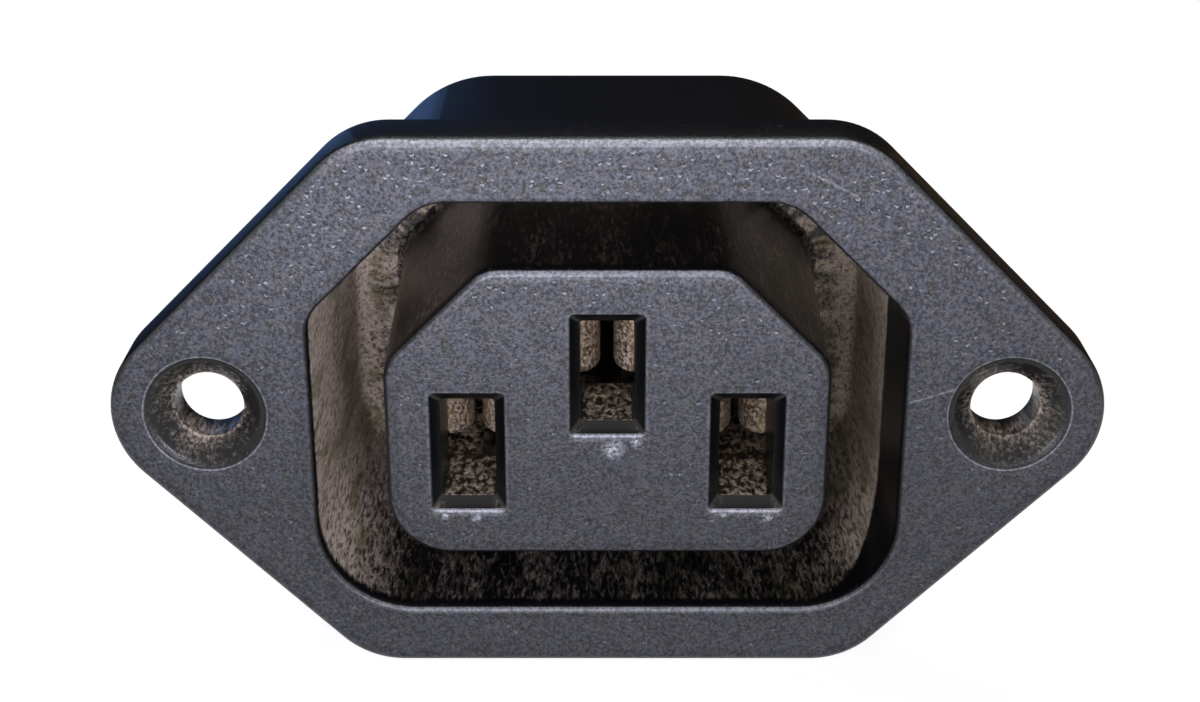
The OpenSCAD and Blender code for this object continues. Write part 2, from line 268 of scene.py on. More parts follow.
# %% [markdown]
# ## Sizes
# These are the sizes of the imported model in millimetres, named as a moulder's drawing would name
# them. X points right, Z up, and Y from the front face into the panel. The origin lies midway
# between the two fixing holes, on the flange's back face.

# %% Sizes in mm
HOLE_SPACING, HOLE_R, SINK_R, SINK_DEPTH = 40, 1.75, 3.0, 1.25
FLANGE_H, EAR_R, FLANGE_CORNER_R, FLANGE_EDGE = 28.5, 4.75, 4.5, 0.4
CAVITY_W, CAVITY_H, CAVITY_SIDE_R, CAVITY_LOW_R, SIDE_WALL, TOP_WALL = 29.5, 22, 2.2, 4.9, 1.35, 1.7
CORE_W, CORE_H, CORE_Z = 22.2, 15.5, -0.1
CHANNEL_DEPTH, DRAFT, RIM_EDGE, FLOOR_T, SHROUD_EDGE = 17, math.radians(1.4), 0.3, 2, 0.6
CORE_EDGE, SLOT_W, SLOT_H, MOUTH_W, MOUTH_H, MOUTH_DEPTH = 0.35, 2.75, 5.4, 3.7, 6.4, 0.6
FRONT_WALL, CHAMBER_W, CHAMBER_H, POCKET_DEPTH = 5.2, 5.4, 5.9, 1.4
SLOTS = np.array([[-7, -2.1], [7, -2.1], [0, 2.1]])
COVER_T, COVER_INSET, COVER_EDGE, COLLAR_H, COLLAR_WALL, COLLAR_EDGE = 1.8, 1.6, 0.4, 0.6, 0.9, 0.15
POSTS, POST_R, HEAD_R, HEAD_H = np.array([[-9.5, 5.4], [9.5, 5.4]]), 1.1, 1.8, 0.8
STRIP_T, SHOULDER_H, TAB_W, TAB_LENGTH, FIT_GAP = 0.4, 7.2, 6.3, 8, 0.1
floor_y = front_y + CHANNEL_DEPTH
rear_y = floor_y + FLOOR_T
cover_y = rear_y + COVER_T
pocket_y = rear_y - POCKET_DEPTH
floor_draft = CHANNEL_DEPTH * math.tan(DRAFT)
shroud_draft = rear_y * math.tan(DRAFT)
tip_x = HOLE_SPACING / 2 + EAR_R * math.sqrt(2)
flange_z = FLANGE_H / 2
flat_x = tip_x - flange_z
side_grow = SIDE_WALL - floor_draft
top_grow = TOP_WALL - floor_draft
cavity = keyed(CAVITY_W, CAVITY_H, cut=5.9, top_r=2.8, side_r=CAVITY_SIDE_R, low_r=CAVITY_LOW_R)
shroud = keyed(CAVITY_W + 2 * side_grow, CAVITY_H + 2 * top_grow, cut=6.8, top_r=6.2,
               side_r=CAVITY_SIDE_R + side_grow, low_r=CAVITY_LOW_R + side_grow)
core = keyed(CORE_W, CORE_H, cut=5, top_r=2, side_r=2, low_r=3.2, centre_z=CORE_Z)
right_ear = np.array([[flat_x, -flange_z], [tip_x, 0], [flat_x, flange_z]])
flange = outline([*right_ear, *-right_ear], [FLANGE_CORNER_R, EAR_R, FLANGE_CORNER_R] * 2)
print("channel floor", round(floor_y, 2), "rear face", round(rear_y, 2), "flange tip", round(tip_x, 2), "mm")

# %% [markdown]
# ## The housing
# On the real outlet this is one shot of black plastic: the flange, the shroud behind it, the channel
# that a connector's sleeve slides into, and the core with its three slots. It is built the same way
# here, as one closed skin: over the shroud's rear edge, round the flange and its front edge, over the
# rim of the opening, down the drafted wall, across the channel's floor, up the core, and through the
# slots to the chambers behind them.

# %% Walls of the housing
BACK_EDGE, FILLET = 0.12, 0.5
EDGE_BAND, RIM_BAND, BAND_END = 0.3, 0.7, 0.03  # mm of flat beside an edge over which the grain fades out
DUST_START, DUST_FADE, DUST_ABOVE, DUST_BELOW = 0.35, 0.6, 0.55, 0.36  # mm, mm and two shares
WALL_RINGS, WALL_START = 34, 0.03  # count, and share of the depth where the rounding has ended


def facing(shape, way):
    """How far each point's normal looks one way, -1 for down and 1 for up: (normal . way) ^ 6."""
    return np.clip(way * shape[1][:, 1], 0, 1) ** 6


def front_edge(shape, e, side, worn_and_lit, line, band):
    """Rings of a rounded front edge, from the flat face to the wall. Side is 1 on an outside wall
    and -1 on an opening's. The grain fades out over a band of the face. The pale paint of wear and
    painted highlight lies on the face at a fifth of the edge's up to a line beside it, and is most a
    fifth of the way down the rounding, where the painted highlight sits: the pale value x
    (1 - |4 depth / e - 0.8|)."""
    rows = [(shape, -side * (e + line + band), front_y, 0, 0, 0, 0),
            (shape, -side * (e + line + BAND_END), front_y, 0, 0, 0, 1),
            (shape, -side * (e + line), front_y, 0.2 * worn_and_lit, 0, 0, 1)]
    for inset, depth in quarter(e):
        level = max(0, 1 - abs(4 * depth / e - 0.8))
        rows.append((shape, -side * inset, front_y + depth, worn_and_lit * level, 0, 0, 1))
    return rows


def dust_on(shape, depth, right_start):
    """Dust at each point of a channel wall, by the wall's normal (x, z). It is thick at the sides,
    thinner above and thinnest below, and on the right it starts deeper: level = x^2 + z^2
    (0.55 above, 0.36 below), faded in over 0.6 mm of depth."""
    x, z = shape[1].T
    level = x ** 2 + z ** 2 * np.where(z > 0, DUST_ABOVE, DUST_BELOW)
    start = DUST_START + (right_start - DUST_START) * np.clip(x, 0, 1) ** 3
    return level * np.clip((depth - start) / DUST_FADE, 0, 1)


def drafted(shape, way, thickness, right_start):
    """Rings down a drafted wall from the face to the channel's floor, with the fillet at its foot.
    Way is -1 for the channel's outer wall, which closes in, and 1 for the core, which widens."""
    rows = []
    for u in np.linspace(WALL_START, 1 - FILLET / CHANNEL_DEPTH, WALL_RINGS):
        dust = thickness * dust_on(shape, CHANNEL_DEPTH * u, right_start)
        rows.append((shape, way * floor_draft * u, front_y + CHANNEL_DEPTH * u, 0, dust))
    dust = thickness * dust_on(shape, CHANNEL_DEPTH, right_start)
    for inset, depth in quarter(FILLET):
        rows.append((shape, way * (floor_draft + depth), floor_y - inset, 0, dust))
    return rows


shroud_rings = [(shroud, -inset, rear_y - depth) for inset, depth in quarter(SHROUD_EDGE)]
shroud_rings += [(shroud, shroud_draft * (1 - u), rear_y * u) for u in np.linspace(0.9, FILLET / rear_y, 12)]
shroud_rings += [(shroud, shroud_draft + depth, inset) for inset, depth in quarter(FILLET / 2)]
flange_rings = [(flange, -inset, -depth) for inset, depth in quarter(BACK_EDGE, 3)]
# Pale wear on the upward-facing roundings, which is also a painted highlight where light from above falls.
flange_rings += front_edge(flange, FLANGE_EDGE, 1, 1.7 * facing(flange, 1), line=0.02, band=EDGE_BAND)[::-1]
rim_rings = front_edge(cavity, RIM_EDGE, -1, 0.8 * facing(cavity, -1) + 0.08, line=0.04, band=RIM_BAND)
rim_rings += drafted(cavity, -1, thickness=1, right_start=6)
core_rings = front_edge(core, CORE_EDGE, 1, 1.2 * facing(core, 1), line=0.02, band=EDGE_BAND)
core_rings += drafted(core, 1, thickness=0.5, right_start=1)
walls = [carry(rings) for rings in (shroud_rings, flange_rings, rim_rings, core_rings)]
print("walls:", [len(w[0]) for w in walls], "points")

# %% [markdown]
# The slots start at bevelled mouths that guide the pins in. Behind the core's front wall each one
# opens into a chamber for its contact, and the chamber ends in a narrow pocket, cut from the rear
# face, that holds the contact's shoulders. Grit carried in by years of plugging packs the slots.

# %% Slots, chambers and pockets
MOUTH_EDGE, MOUTH_R, MOUTH_BAND, MOUTH_LINE = 0.12, 0.25, 0.3, 0.1
RUBBED_AND_LIT_ALL, RUBBED_AND_LIT_LOW, RUBBED_AND_LIT_FACE = 0.12, 0.9, 0.2  # wear and painted highlight round the mouth, more below, share on the face
CORNER_PLACE, CORNER_SPREAD, CORNER_GRIT = 0.9, 0.2, 0.3  # shares of the half width, and grit
GRIT_FADE, SLOT_START, SLOT_RINGS = 0.1, 1.2, 9  # mm, mm below the face, and count


def slot_walls(place):
    """Walls and steps of one contact way, from the bevelled mouth to the rear face, and the two
    outlines that it cuts out of the core's front and out of the rear face. The chamber and the cross
    of chamber and pocket are each a right half and its half turn, (-x, -z). The mouth's edge is painted
    pale, as wear and a painted highlight, most at its lower side, and grit lies on the slot's lower side
    and in the bevel's lower corners."""
    mouth = rectangle(place, MOUTH_W, MOUTH_H, MOUTH_R, run_step=0.25)
    slot = (place + (mouth[0] - place) * (SLOT_W / MOUTH_W, SLOT_H / MOUTH_H), *mouth[1:])
    x, pocket_x = CHAMBER_W / 2, STRIP_T + FIT_GAP
    z, pocket_z = CHAMBER_H / 2, SHOULDER_H / 2 + FIT_GAP
    right = np.array([[pocket_x, -z], [x, -z], [x, z], [pocket_x, z]])
    longer = np.array([[pocket_x, -pocket_z], *right, [pocket_x, pocket_z]])
    chamber, cross = (np.concatenate([half, -half]) for half in (right, longer))
    ends = [np.array([[-pocket_x, a], [pocket_x, a], [pocket_x, b], [-pocket_x, b]])
            for a, b in ((-pocket_z, -z), (z, pocket_z))]
    chamber, cross, *ends = ((points + place, np.zeros_like(points), np.zeros(len(points)))
                             for points in (chamber, cross, *ends))
    step_y = front_y + FRONT_WALL
    low = facing(mouth, -1)
    below = (chamber[0][:, 1] < place[1]).astype(float)
    sideways = np.abs(mouth[0][:, 0] - place[0]) / MOUTH_W * 2
    corners = np.clip(1 - np.abs(sideways - CORNER_PLACE) / CORNER_SPREAD, 0, 1)
    # Pale paint round the mouth's edge: wear and a painted highlight, strongest on its lower side.
    rubbed_and_lit = RUBBED_AND_LIT_LOW * low + RUBBED_AND_LIT_ALL
    rings = [(mouth, MOUTH_EDGE + MOUTH_BAND, front_y),
             (mouth, MOUTH_EDGE + MOUTH_LINE, front_y, rubbed_and_lit * RUBBED_AND_LIT_FACE, 0, 0, 1)]
    for inset, depth in quarter(MOUTH_EDGE, 3)[:-1]:
        rings.append((mouth, inset, front_y + depth, rubbed_and_lit, 0, 0, 1))
    rings += [(mouth, 0, front_y + MOUTH_EDGE, 0, 0, CORNER_GRIT * low * corners),
              (slot, 0, front_y + MOUTH_DEPTH),
              (slot, 0, front_y + MOUTH_DEPTH + GRIT_FADE, 0, 0, low)]
    rings += [(slot, 0, y, 0, 0, low) for y in np.linspace(front_y + SLOT_START, step_y, SLOT_RINGS)]
    patches = [carry(rings),
               flat((chamber, 0), [(slot, 0)], step_y),
               carry([(chamber, 0, y, 0, 0, below) for y in (step_y, pocket_y)]),
               carry([(cross, 0, pocket_y), (cross, 0, rear_y)]),
               *(flat((end, 0), [], pocket_y) for end in ends)]
    return patches, (mouth, MOUTH_EDGE + MOUTH_BAND), (cross, 0)


ways = [slot_walls(place) for place in SLOTS]
print("one slot:", sum(len(patch[0]) for patch in ways[0][0]), "points")


# %% [markdown]
# The screw holes are countersunk from the front, and two posts on the rear face pass through the
# cover and end in flattened heads, which hold it on.

# %% Screw holes and posts
SINK_BAND, SINK_LINE = 0.4, 0.14  # mm past the edge, between which the grain fades out
SINK_RIM = ((0.12, 0, 0.4, 0), (0.07, 0.02, 0.4, 0.1), (0.02, 0.06, 0.1, 0.1),
            (-0.04, 0.12, 0, 0.1))  # mm past the countersink's edge, mm deep, wear, dust
CONE_START, CONE_END, CONE_RINGS = 0.25, SINK_DEPTH - 0.15, 6  # mm, mm and count
CONE_DUST, CONE_MORE, BORE_DUST, BORE_GRIT, BACK_DUST = 0.2, 0.25, 0.6, 0.1, 0.3


def screw_hole(x):
    """Rings of a countersunk hole, as radii measured from the countersink's edge: a worn rim with a
    small rounding, a cone whose dust thickens as it narrows, and the bore down to the flange's back."""
    sink = circle((x, 0), SINK_R)
    throat = HOLE_R - SINK_R
    slope = (SINK_R - HOLE_R) / SINK_DEPTH
    rows = [(sink, SINK_BAND, front_y), (sink, SINK_LINE, front_y, 0, 0, 0, 1)]
    rows += [(sink, past, front_y + depth, worn_and_lit, dust, 0, 1) for past, depth, worn_and_lit, dust in SINK_RIM]
    for depth in np.linspace(CONE_START, CONE_END, CONE_RINGS):
        dust = CONE_DUST + CONE_MORE * depth / SINK_DEPTH
        rows.append((sink, -slope * depth, front_y + depth, 0, dust))
    rows += [(sink, throat, front_y + SINK_DEPTH + d, 0, BORE_DUST, BORE_GRIT) for d in (0, 0.2, 0.6)]
    rows += [(sink, throat + depth, -inset, 0, BACK_DUST) for inset, depth in quarter(BACK_EDGE, 3)]
    return rows


def post(place):
    """Rings of a staked post: its shank, the underside of its head, and a cap cut from a ball, whose
    height is centre + sqrt(ball radius^2 - r^2)."""
    shank = circle(place, POST_R, 48)
    ball_r = (HEAD_R ** 2 + HEAD_H ** 2) / (2 * HEAD_H)
    ball_y = cover_y + HEAD_H - ball_r
    rows = [(shank, 0, rear_y), (shank, 0, cover_y), (shank, HEAD_R - POST_R - 0.08, cover_y)]
    for r in HEAD_R * np.sin(np.linspace(math.pi / 2, 0.12, 12)):
        rows.append((shank, r - POST_R, ball_y + math.sqrt(ball_r ** 2 - r ** 2)))
    return rows


holes = [screw_hole(side * HOLE_SPACING / 2) for side in (-1, 1)]
posts = [post(place) for place in POSTS]
flats = [flat(flange_rings[-1][:2], [rim_rings[0][:2], *(h[0][:2] for h in holes)], front_y),
         flat(core_rings[0][:2], [way[1] for way in ways], front_y),
         flat(rim_rings[-1][:2], [core_rings[-1][:2]], floor_y, (0, 0.9, 0, 0)),
         flat(flange_rings[0][:2], [shroud_rings[-1][:2], *(h[-1][:2] for h in holes)], 0),
         flat(shroud_rings[0][:2], [*(way[2] for way in ways), *(p[0][:2] for p in posts)], rear_y)]
caps = [flat(p[-1][:2], [], p[-1][2]) for p in posts]
housing = join("moulded_housing", [*walls, *flats, *caps, *(carry(r) for r in holes + posts),
                                   *(patch for way in ways for patch in way[0])])
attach(housing, "root")
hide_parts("housing")

# %% [markdown]
# ## The rear cover
# A thin moulded plate keeps the contacts in their chambers, and a low collar round each tab keeps a
# wire's connector off it. It is hidden once the outlet is in its panel, so it is plain: the shroud's
# outline drawn in, with the collars standing on it and the tab slots and post holes cut through.

# %% Rear cover
cover_rings = [(shroud, -COVER_INSET - inset, cover_y - depth) for inset, depth in quarter(COVER_EDGE)]
cover_rings += [(shroud, -COVER_INSET, rear_y)]
collar_y = cover_y + COLLAR_H
patches, collars, tab_slots = [carry(cover_rings)], [], []
for place in SLOTS:
    collar = rectangle(place, 2 * (STRIP_T + FIT_GAP + COLLAR_WALL), TAB_W + 2 * (FIT_GAP + COLLAR_WALL), 0.4)
    tab_slot = rectangle(place, 2 * (STRIP_T + FIT_GAP), TAB_W + 2 * FIT_GAP, 0.1)
    collar_rings = [(collar, -inset, collar_y - depth) for inset, depth in quarter(COLLAR_EDGE, 3)]
    collar_rings += [(collar, depth, cover_y + inset) for inset, depth in quarter(COLLAR_EDGE, 3)]
    patches += [carry(collar_rings), flat((collar, -COLLAR_EDGE), [(tab_slot, 0)], collar_y)]
    patches += [carry([(tab_slot, 0, collar_y), (tab_slot, 0, rear_y)])]
    collars.append(collar_rings[-1][:2])
    tab_slots.append((tab_slot, 0))
post_holes = [(circle(place, POST_R + FIT_GAP, 48), 0) for place in POSTS]
patches += [carry([(*hole, cover_y), (*hole, rear_y)]) for hole in post_holes]
patches += [flat(cover_rings[0][:2], collars + post_holes, cover_y)]
patches += [flat(cover_rings[-1][:2], tab_slots + post_holes, rear_y)]
cover = join("rear_cover_plate", patches)
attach(cover, "root")
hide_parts("rear_cover")

# %% [markdown]
# ## The spring contacts
# Each contact starts as a flat blank, stamped from brass strip, and is then folded: two leaves that
# pinch the pin, shoulders that stop it in its pocket, and a doubled tab for the wire. The same two
# steps make it here. The blank is an outline with rounded edges, and bending it moves each point to
# its place along a path, a distance out from the path's middle.

# %% Blank and bending
LEAF_H, LIP_R, TAB_CUT, LATCH_R, LATCH_BACK, STRIP_EDGE = 5, 0.2, 1.2, 0.9, 3.6, 0.08
LIP_SPREAD, LIP_LENGTH, BELLY_SPREAD, BELLY_LENGTH = 3.2, 1.9, 2.4, 3.8
SEAM = 0.012  # mm from the middle to each half of the doubled tab
BEND_STEP = 0.28  # mm between points on a blank, so that it bends smoothly
TIP_SLOPE = 0.25  # how fast the tab thins at its tip


def leaf_path(lip_y, gap):
    """Middle line of a leaf seen from above: a quarter of an ellipse from the lip in to the pinch, a
    half cosine out to the belly, another in to the shoulders, and a straight tab. Gives its lengths
    and places."""
    u = np.linspace(0, 1, 40)[:, None]
    lip = np.array([LIP_SPREAD / 2, lip_y])
    pinch = np.array([(gap + STRIP_T) / 2, lip_y + LIP_LENGTH])
    belly = np.array([BELLY_SPREAD / 2, pinch[1] + BELLY_LENGTH])
    neck = np.array([STRIP_T / 2 + SEAM, pocket_y])
    tip = np.array([STRIP_T / 2 + SEAM, cover_y + TAB_LENGTH])
    curve = lip + (pinch - lip) * np.hstack([np.sin(math.pi / 2 * u), 1 - np.cos(math.pi / 2 * u)])
    for a, b in ((pinch, belly), (belly, neck)):
        curve = np.concatenate([curve, (a + (b - a) * np.hstack([(1 - np.cos(math.pi * u)) / 2, u]))[1:]])
    curve = np.concatenate([curve, neck + (tip - neck) * u[1:]])
    length = np.concatenate([[0], np.cumsum(np.linalg.norm(np.diff(curve, axis=0), axis=1))])
    return length, curve


def blank(shoulder_s, tip_s):
    """Flat blank of one leaf with its tab: length along X, thickness along Y, height along Z."""
    half, tab, low = LEAF_H / 2, TAB_W / 2, SHOULDER_H / 2
    end_s = shoulder_s + POCKET_DEPTH
    upper = [[tip_s, tab - TAB_CUT], [tip_s - TAB_CUT, tab], [end_s, tab], [end_s, low], [shoulder_s, low],
             [shoulder_s, half], [0, half]]
    radii = [0.25, 0.25, 0.1, 0.15, 0.15, 0.2, LIP_R]
    shape = outline([[s, -z] for s, z in upper[::-1]] + upper, radii[::-1] + radii, run_step=0.3)
    latch = circle((tip_s - LATCH_BACK, 0), LATCH_R, 40)
    edge = [(inset, depth - STRIP_T / 2) for inset, depth in quarter(STRIP_EDGE, 3)]
    edge += [(inset, STRIP_T / 2 - depth) for inset, depth in quarter(STRIP_EDGE, 3)[::-1]]
    return [carry([(shape, -inset, y) for inset, y in edge]),
            carry([(latch, inset, y) for inset, y in edge]),
            *(flat((shape, -STRIP_EDGE), [(latch, STRIP_EDGE)], y, grid=BEND_STEP)
              for y in (-STRIP_T / 2, STRIP_T / 2))]


def bend(points, path):
    """Places of a blank's points once it follows the path: the path's place at the point's length,
    plus the point's distance from the middle along the path's normal. Near the tip that distance is
    held under thickness / 2 - 0.25 x (length beyond a place two thicknesses short of the tip)."""
    length, curve = path
    way = np.gradient(curve, length, axis=0)
    way /= np.linalg.norm(way, axis=1)[:, None]
    x, y, nx, ny = (np.interp(points[:, 0], length, row) for row in (*curve.T, way[:, 1], -way[:, 0]))
    out = np.minimum(points[:, 1], STRIP_T / 2 - TIP_SLOPE * (points[:, 0] - length[-1] + 2 * STRIP_T))
    return np.stack([x + nx * out, y + ny * out, points[:, 2]], 1)


print("strip", STRIP_T, "mm thick, leaves", LEAF_H, "mm high, tab", TAB_W, "mm high")

# %% [markdown]
# The line and the neutral contact are the same strip. The earth contact stands further forward, so
# that the earth pin meets its spring first and leaves it last.

# %% Three contacts
def contact(name, place, lip_depth, gap):
    """Two bent leaves, one the mirror of the other, moved to their slot."""
    path = leaf_path(front_y + lip_depth, gap)
    shoulder_s = np.interp(pocket_y, path[1][:, 1], path[0])
    patches = []
    for mirror in (1, -1):
        for points, *rest in blank(shoulder_s, path[0][-1]):
            patches.append((bend(points, path) * (mirror, 1, 1) + (place[0], 0, place[1]), *rest))
    return join(name, patches, 50)


POWER_DEPTH, POWER_GAP, EARTH_DEPTH, EARTH_GAP = 7.6, 0.4, 6.3, 0.7  # mm
contacts = {"line_contact": contact("line_spring", SLOTS[0], POWER_DEPTH, POWER_GAP),
            "neutral_contact": contact("neutral_spring", SLOTS[1], POWER_DEPTH, POWER_GAP),
            "earth_contact": contact("earth_spring", SLOTS[2], EARTH_DEPTH, EARTH_GAP)}
for node, piece in contacts.items():
    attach(piece, "root")
    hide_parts(node)

# %% [markdown]
# ## Colours and nodes
# A colour picked on a screen is an sRGB value, and Cycles adds up light in linear values, so one
# function turns the first into the second. A second small function adds any shader node with its
# settings and its links, which keeps each material readable as a list of layers.

# %% Helpers for materials
RGBA, SMOOTH = {"data_type": "RGBA"}, {"interpolation_type": "SMOOTHSTEP"}
DISTANCE, TIMES_PLUS = {"operation": "DISTANCE"}, {"operation": "MULTIPLY_ADD"}
TIMES, PLUS, LESS, MOST = ({"operation": name} for name in ("MULTIPLY", "ADD", "SUBTRACT", "MAXIMUM"))
CLEAN_BLACK = "#0b0b0d"


def linear(hex_colour):
    """Linear RGBA of an sRGB hex colour: ((c + 0.055) / 1.055) ^ 2.4, or c / 12.92 when it is dark."""
    c = np.array([int(hex_colour[i:i + 2], 16) for i in (1, 3, 5)]) / 255
    return (*np.where(c <= 0.04045, c / 12.92, ((c + 0.055) / 1.055) ** 2.4), 1)


def add(tree, kind, settings=None, **inputs):
    """Adds a node and gives its first output in use, or the node itself if it has none. Settings are
    its properties. Inputs are values or other nodes' outputs, by socket name, or by number as _0, _1
    where names repeat."""
    node = tree.nodes.new("ShaderNode" + kind)
    for name, value in (settings or {}).items():
        setattr(node, name, value)
    for name, value in inputs.items():
        socket = node.inputs[int(name[1:]) if name[1:].isdigit() else name.replace("_", " ")]
        if isinstance(value, bpy.types.NodeSocket):
            tree.links.new(value, socket)
        else:
            socket.default_value = value
    return next((output for output in node.outputs if output.enabled), node)


def blank_material(name):
    """A material whose node tree is empty."""
    material = bpy.data.materials.new(name)
    material.use_nodes = True
    material.node_tree.nodes.clear()
    return material, material.node_tree


def in_mm(tree):
    """A piece's own coordinates in millimetres: object coordinates x 1 / MM."""
    place = add(tree, "TexCoord").node.outputs["Object"]
    return add(tree, "VectorMath", {"operation": "SCALE"}, _0=place, Scale=1 / MM)


print("clean black plastic is", [round(float(v), 4) for v in linear(CLEAN_BLACK)[:3]])

# %% [markdown]
# ## The studio
# Black plastic shows what it reflects. The face looks grey because, rough as it is, it mirrors the
# white table in front of it, and the top looks black because it mirrors the dark end of the studio.
# The table and the far walls are white only to rays that come from the camera, from a mirror or
# through glass, so a white background never adds to the light on the part. The dark end of the
# studio is a black card that slopes up behind the part, and only mirrored rays see it.

# %% Floor, world and black card
floor_z = cad_box[0][2]


def stage_sheet(name, corners, material):
    """A flat four-cornered stage piece from its corners in metres."""
    mesh = bpy.data.meshes.new(name)
    mesh.from_pydata([tuple(c) for c in corners], [], [(0, 1, 2, 3)])
    mesh.materials.append(material)
    piece = bpy.data.objects.new(name, mesh)
    bpy.context.scene.collection.objects.link(piece)
    piece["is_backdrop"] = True
    return piece


def seen_as_background(tree):
    """One for camera, mirror and glass rays, zero for the rays that light the object."""
    rays = add(tree, "LightPath").node.outputs
    mirror = add(tree, "Math", MOST, _0=rays["Is Camera Ray"], _1=rays["Is Glossy Ray"])
    return add(tree, "Math", MOST, _0=mirror, _1=rays["Is Transmission Ray"])


PAPER_GREY, PAPER_GLOW, WORLD_LEVEL, FLOOR_HALF = "#9a9a9a", 0.87, 0.08, 1.5
paper, tree = blank_material("matt_white_studio_paper")
glow = add(tree, "Math", TIMES, _0=seen_as_background(tree), _1=PAPER_GLOW)
sheet = add(tree, "BsdfPrincipled", Base_Color=linear(PAPER_GREY), Roughness=0.9, Specular_IOR_Level=0.1,
            Emission_Color=(1, 1, 1, 1), Emission_Strength=glow)
add(tree, "OutputMaterial", Surface=sheet)
floor_corners = [(x * FLOOR_HALF, y * FLOOR_HALF, floor_z) for x, y in ((-1, -1), (1, -1), (1, 1), (-1, 1))]
stage_sheet("paper_floor", floor_corners, paper)

world = bpy.data.worlds.new("white_room")
bpy.context.scene.world = world
world.use_nodes = True
tree = world.node_tree
tree.nodes.clear()
room = add(tree, "MapRange", Value=seen_as_background(tree), _3=WORLD_LEVEL, _4=1.0)
add(tree, "OutputWorld", Surface=add(tree, "Background", Color=(1, 1, 1, 1), Strength=room))

FELT_BLACK = "#101012"
CARD_X, CARD_NEAR, CARD_FAR = 1.2, (0.035, floor_z + 0.001), (0.4, 1.1)  # metres: half width, two (y, z)
card, tree = blank_material("black_felt_card")
add(tree, "OutputMaterial", Surface=add(tree, "BsdfDiffuse", Color=linear(FELT_BLACK)))
card_corners = [(-CARD_X, *CARD_NEAR), (CARD_X, *CARD_NEAR), (CARD_X, *CARD_FAR), (-CARD_X, *CARD_FAR)]
flag = stage_sheet("black_card", card_corners, card)
flag.visible_camera = flag.visible_diffuse = flag.visible_shadow = False
print("floor at", round(floor_z / MM, 2), "mm")


# %% [markdown]
# Two softboxes in front, far off to the right and the left, light the face and reach the channel's
# two side walls. A small one, low and close, is mirrored by the upper part of the face, which is why
# its sheen fades downwards. The overhead one stands a little behind the part, so it lights the front
# roundings and stays out of the slots' bevels. Three lamps at the back draw the shroud's edges.

# %% Lamps
def softbox(name, place, aim, width, height, level, colour="#ffffff"):
    """An area lamp aimed at a point, all in mm. Level is how bright it makes a white card that faces
    it there: power = level x pi^2 x distance^2."""
    lamp = bpy.data.lights.new(name, "AREA")
    lamp.shape = "RECTANGLE"
    lamp.size = width * MM
    lamp.size_y = height * MM
    way = (np.array(aim) - np.array(place)) * MM
    lamp.energy = level * math.pi ** 2 * float(way @ way)
    lamp.color = linear(colour)[:3]
    stand = bpy.data.objects.new(name, lamp)
    stand.location = np.array(place) * MM
    stand.rotation_euler = Vector(way).to_track_quat("-Z", "Y").to_euler()
    stand.visible_camera = False
    bpy.context.scene.collection.objects.link(stand)
    return stand


COOL_WHITE, BLUE_WHITE, SKY, BULB = "#f4f3ff", "#eff2ff", "#7fb0ff", "#ffcf9f"
softbox("overhead_softbox", (-6, 22, 100), (-4, 0, 12), 50, 30, 0.4)
softbox("right_softbox", (75, -235, 45), (0, 0, 0), 110, 80, 0.5, COOL_WHITE)
softbox("left_softbox", (-60, -240, 45), (0, 0, 0), 90, 80, 0.36, COOL_WHITE)
softbox("low_softbox", (-7, -36, 7), (-5, 0, 14), 20, 7, 0.54, BLUE_WHITE)
softbox("rear_left_window", (-90, 250, 12), (0, 10, 0), 90, 90, 0.48, SKY)
softbox("rear_right_lamp", (150, 250, 10), (0, 10, 0), 120, 90, 0.08, BULB)
softbox("rear_fill", (40, 130, 220), (0, 12, 0), 90, 90, 0.18)
bpy.context.scene.view_settings.view_transform = "Standard"

# %% [markdown]
# ## The black moulding
# The real material is black engineering plastic. Its front was moulded against a spark-eroded steel
# face, which leaves a fine grain, and years of handling have turned that grain to a dusty blue-grey
# and knocked small pale nicks into it. The face's grey is also painted darker below and lighter above,
# and the nicks' pale crescents are painted glints. The walls were moulded against polished steel, so
# they stay nearly black, but the channel has collected brown dust and the slots are packed with grit.
# One material holds it all, in layers, each with a mask. The depth below the front face says where
# the grain is, and the paint on the points says where an edge is worn and painted with a highlight,
# and where dust and grit lie.

# %% Coordinates and masks of the moulding
FACE_END, WALL_BEGIN = 0.01, 0.09  # mm below the front face
LOW_Z, HIGH_Z = -6, 14  # mm between which the face goes from painted shade at the bottom to painted light at the top
moulding, tree = blank_material("spark_eroded_black_moulding")
mm = in_mm(tree)
across, depth, height = add(tree, "SeparateXYZ", _0=mm).node.outputs
paint = add(tree, "Attribute", {"attribute_name": "paint"}).node.outputs
# The first channel is wear on the edges together with their painted highlight.
worn_and_lit, dusty, gritty = add(tree, "SeparateColor", _0=paint["Color"]).node.outputs
on_face = add(tree, "MapRange", SMOOTH, Value=depth, _1=front_y + FACE_END, _2=front_y + WALL_BEGIN,
              _3=1, _4=0)
rough_face = add(tree, "Math", LESS, _0=on_face, _1=paint["Alpha"])
# The height's share also sets the painted light on the face and the paleness of the painted glints.
high = add(tree, "MapRange", SMOOTH, Value=height, _1=LOW_Z, _2=HIGH_Z)
print("the face's finish ends", WALL_BEGIN, "mm below the face")
